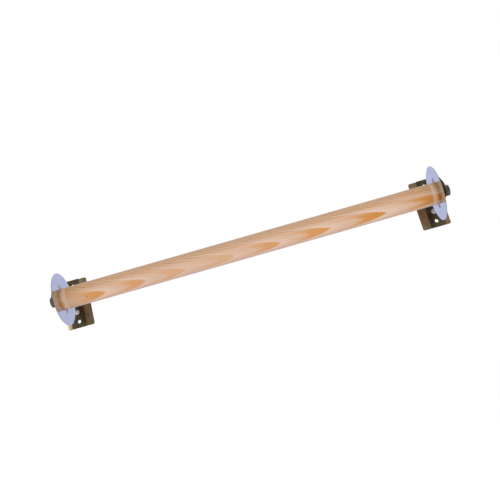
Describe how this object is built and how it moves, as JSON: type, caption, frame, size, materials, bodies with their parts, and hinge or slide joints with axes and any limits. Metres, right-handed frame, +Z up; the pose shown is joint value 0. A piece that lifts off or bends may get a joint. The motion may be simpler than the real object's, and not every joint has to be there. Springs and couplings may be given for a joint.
{
  "type": "pull up bar",
  "caption": "Round wooden pull up bar with a polished guard disc at each end, hung in front of the wall on folded steel brackets that swivel on end bolts.",
  "frame": {"origin": "on the wall plane, midway between the two wall plates and level with the bar's axis", "axes": "+X along the bar to the right hand end, +Y into the wall, +Z up; the bar is in front of the wall at -Y"},
  "size_m": [0.717, 0.1055, 0.095],
  "materials": {
    "varnished_pine": "clear satin varnish",
    "mirror_steel": "mirror polished",
    "polished_steel": "polished, slightly worn",
    "zinc_plated_steel": "bright zinc plate",
    "bolt_steel": "dark oiled steel",
    "nylon": "moulded",
    "brass": "machined"
  },
  "bodies": {
    "left_bracket": {"left_angle_bracket": "polished_steel", "left_wall_plate": "polished_steel", "left_plate_rivet_upper": "zinc_plated_steel", "left_plate_rivet_lower": "zinc_plated_steel"},
    "bar": {"wooden_bar": "varnished_pine", "left_threaded_insert": "brass", "left_guard_disc": "mirror_steel", "left_disc_hub": "zinc_plated_steel", "left_disc_screw_upper": "zinc_plated_steel", "left_disc_screw_lower": "zinc_plated_steel", "left_inner_washer": "nylon", "left_outer_washer": "zinc_plated_steel", "left_end_bolt": "bolt_steel", "right_threaded_insert": "brass", "right_guard_disc": "mirror_steel", "right_disc_hub": "zinc_plated_steel", "right_disc_screw_upper": "zinc_plated_steel", "right_disc_screw_lower": "zinc_plated_steel", "right_inner_washer": "nylon", "right_outer_washer": "zinc_plated_steel", "right_end_bolt": "bolt_steel"},
    "right_bracket": {"right_angle_bracket": "polished_steel", "right_wall_plate": "polished_steel", "right_plate_rivet_upper": "zinc_plated_steel", "right_plate_rivet_lower": "zinc_plated_steel"}
  },
  "joints": [
    {"name": "left_swivel", "type": "hinge", "parent": "left_bracket", "child": "bar", "pos_m": [-0.34825, -0.058, 0], "axis": [1, 0, 0], "continuous": true},
    {"name": "right_swivel", "type": "hinge", "parent": "bar", "child": "right_bracket", "pos_m": [0.34825, -0.058, 0], "axis": [1, 0, 0], "continuous": true}
  ]
}
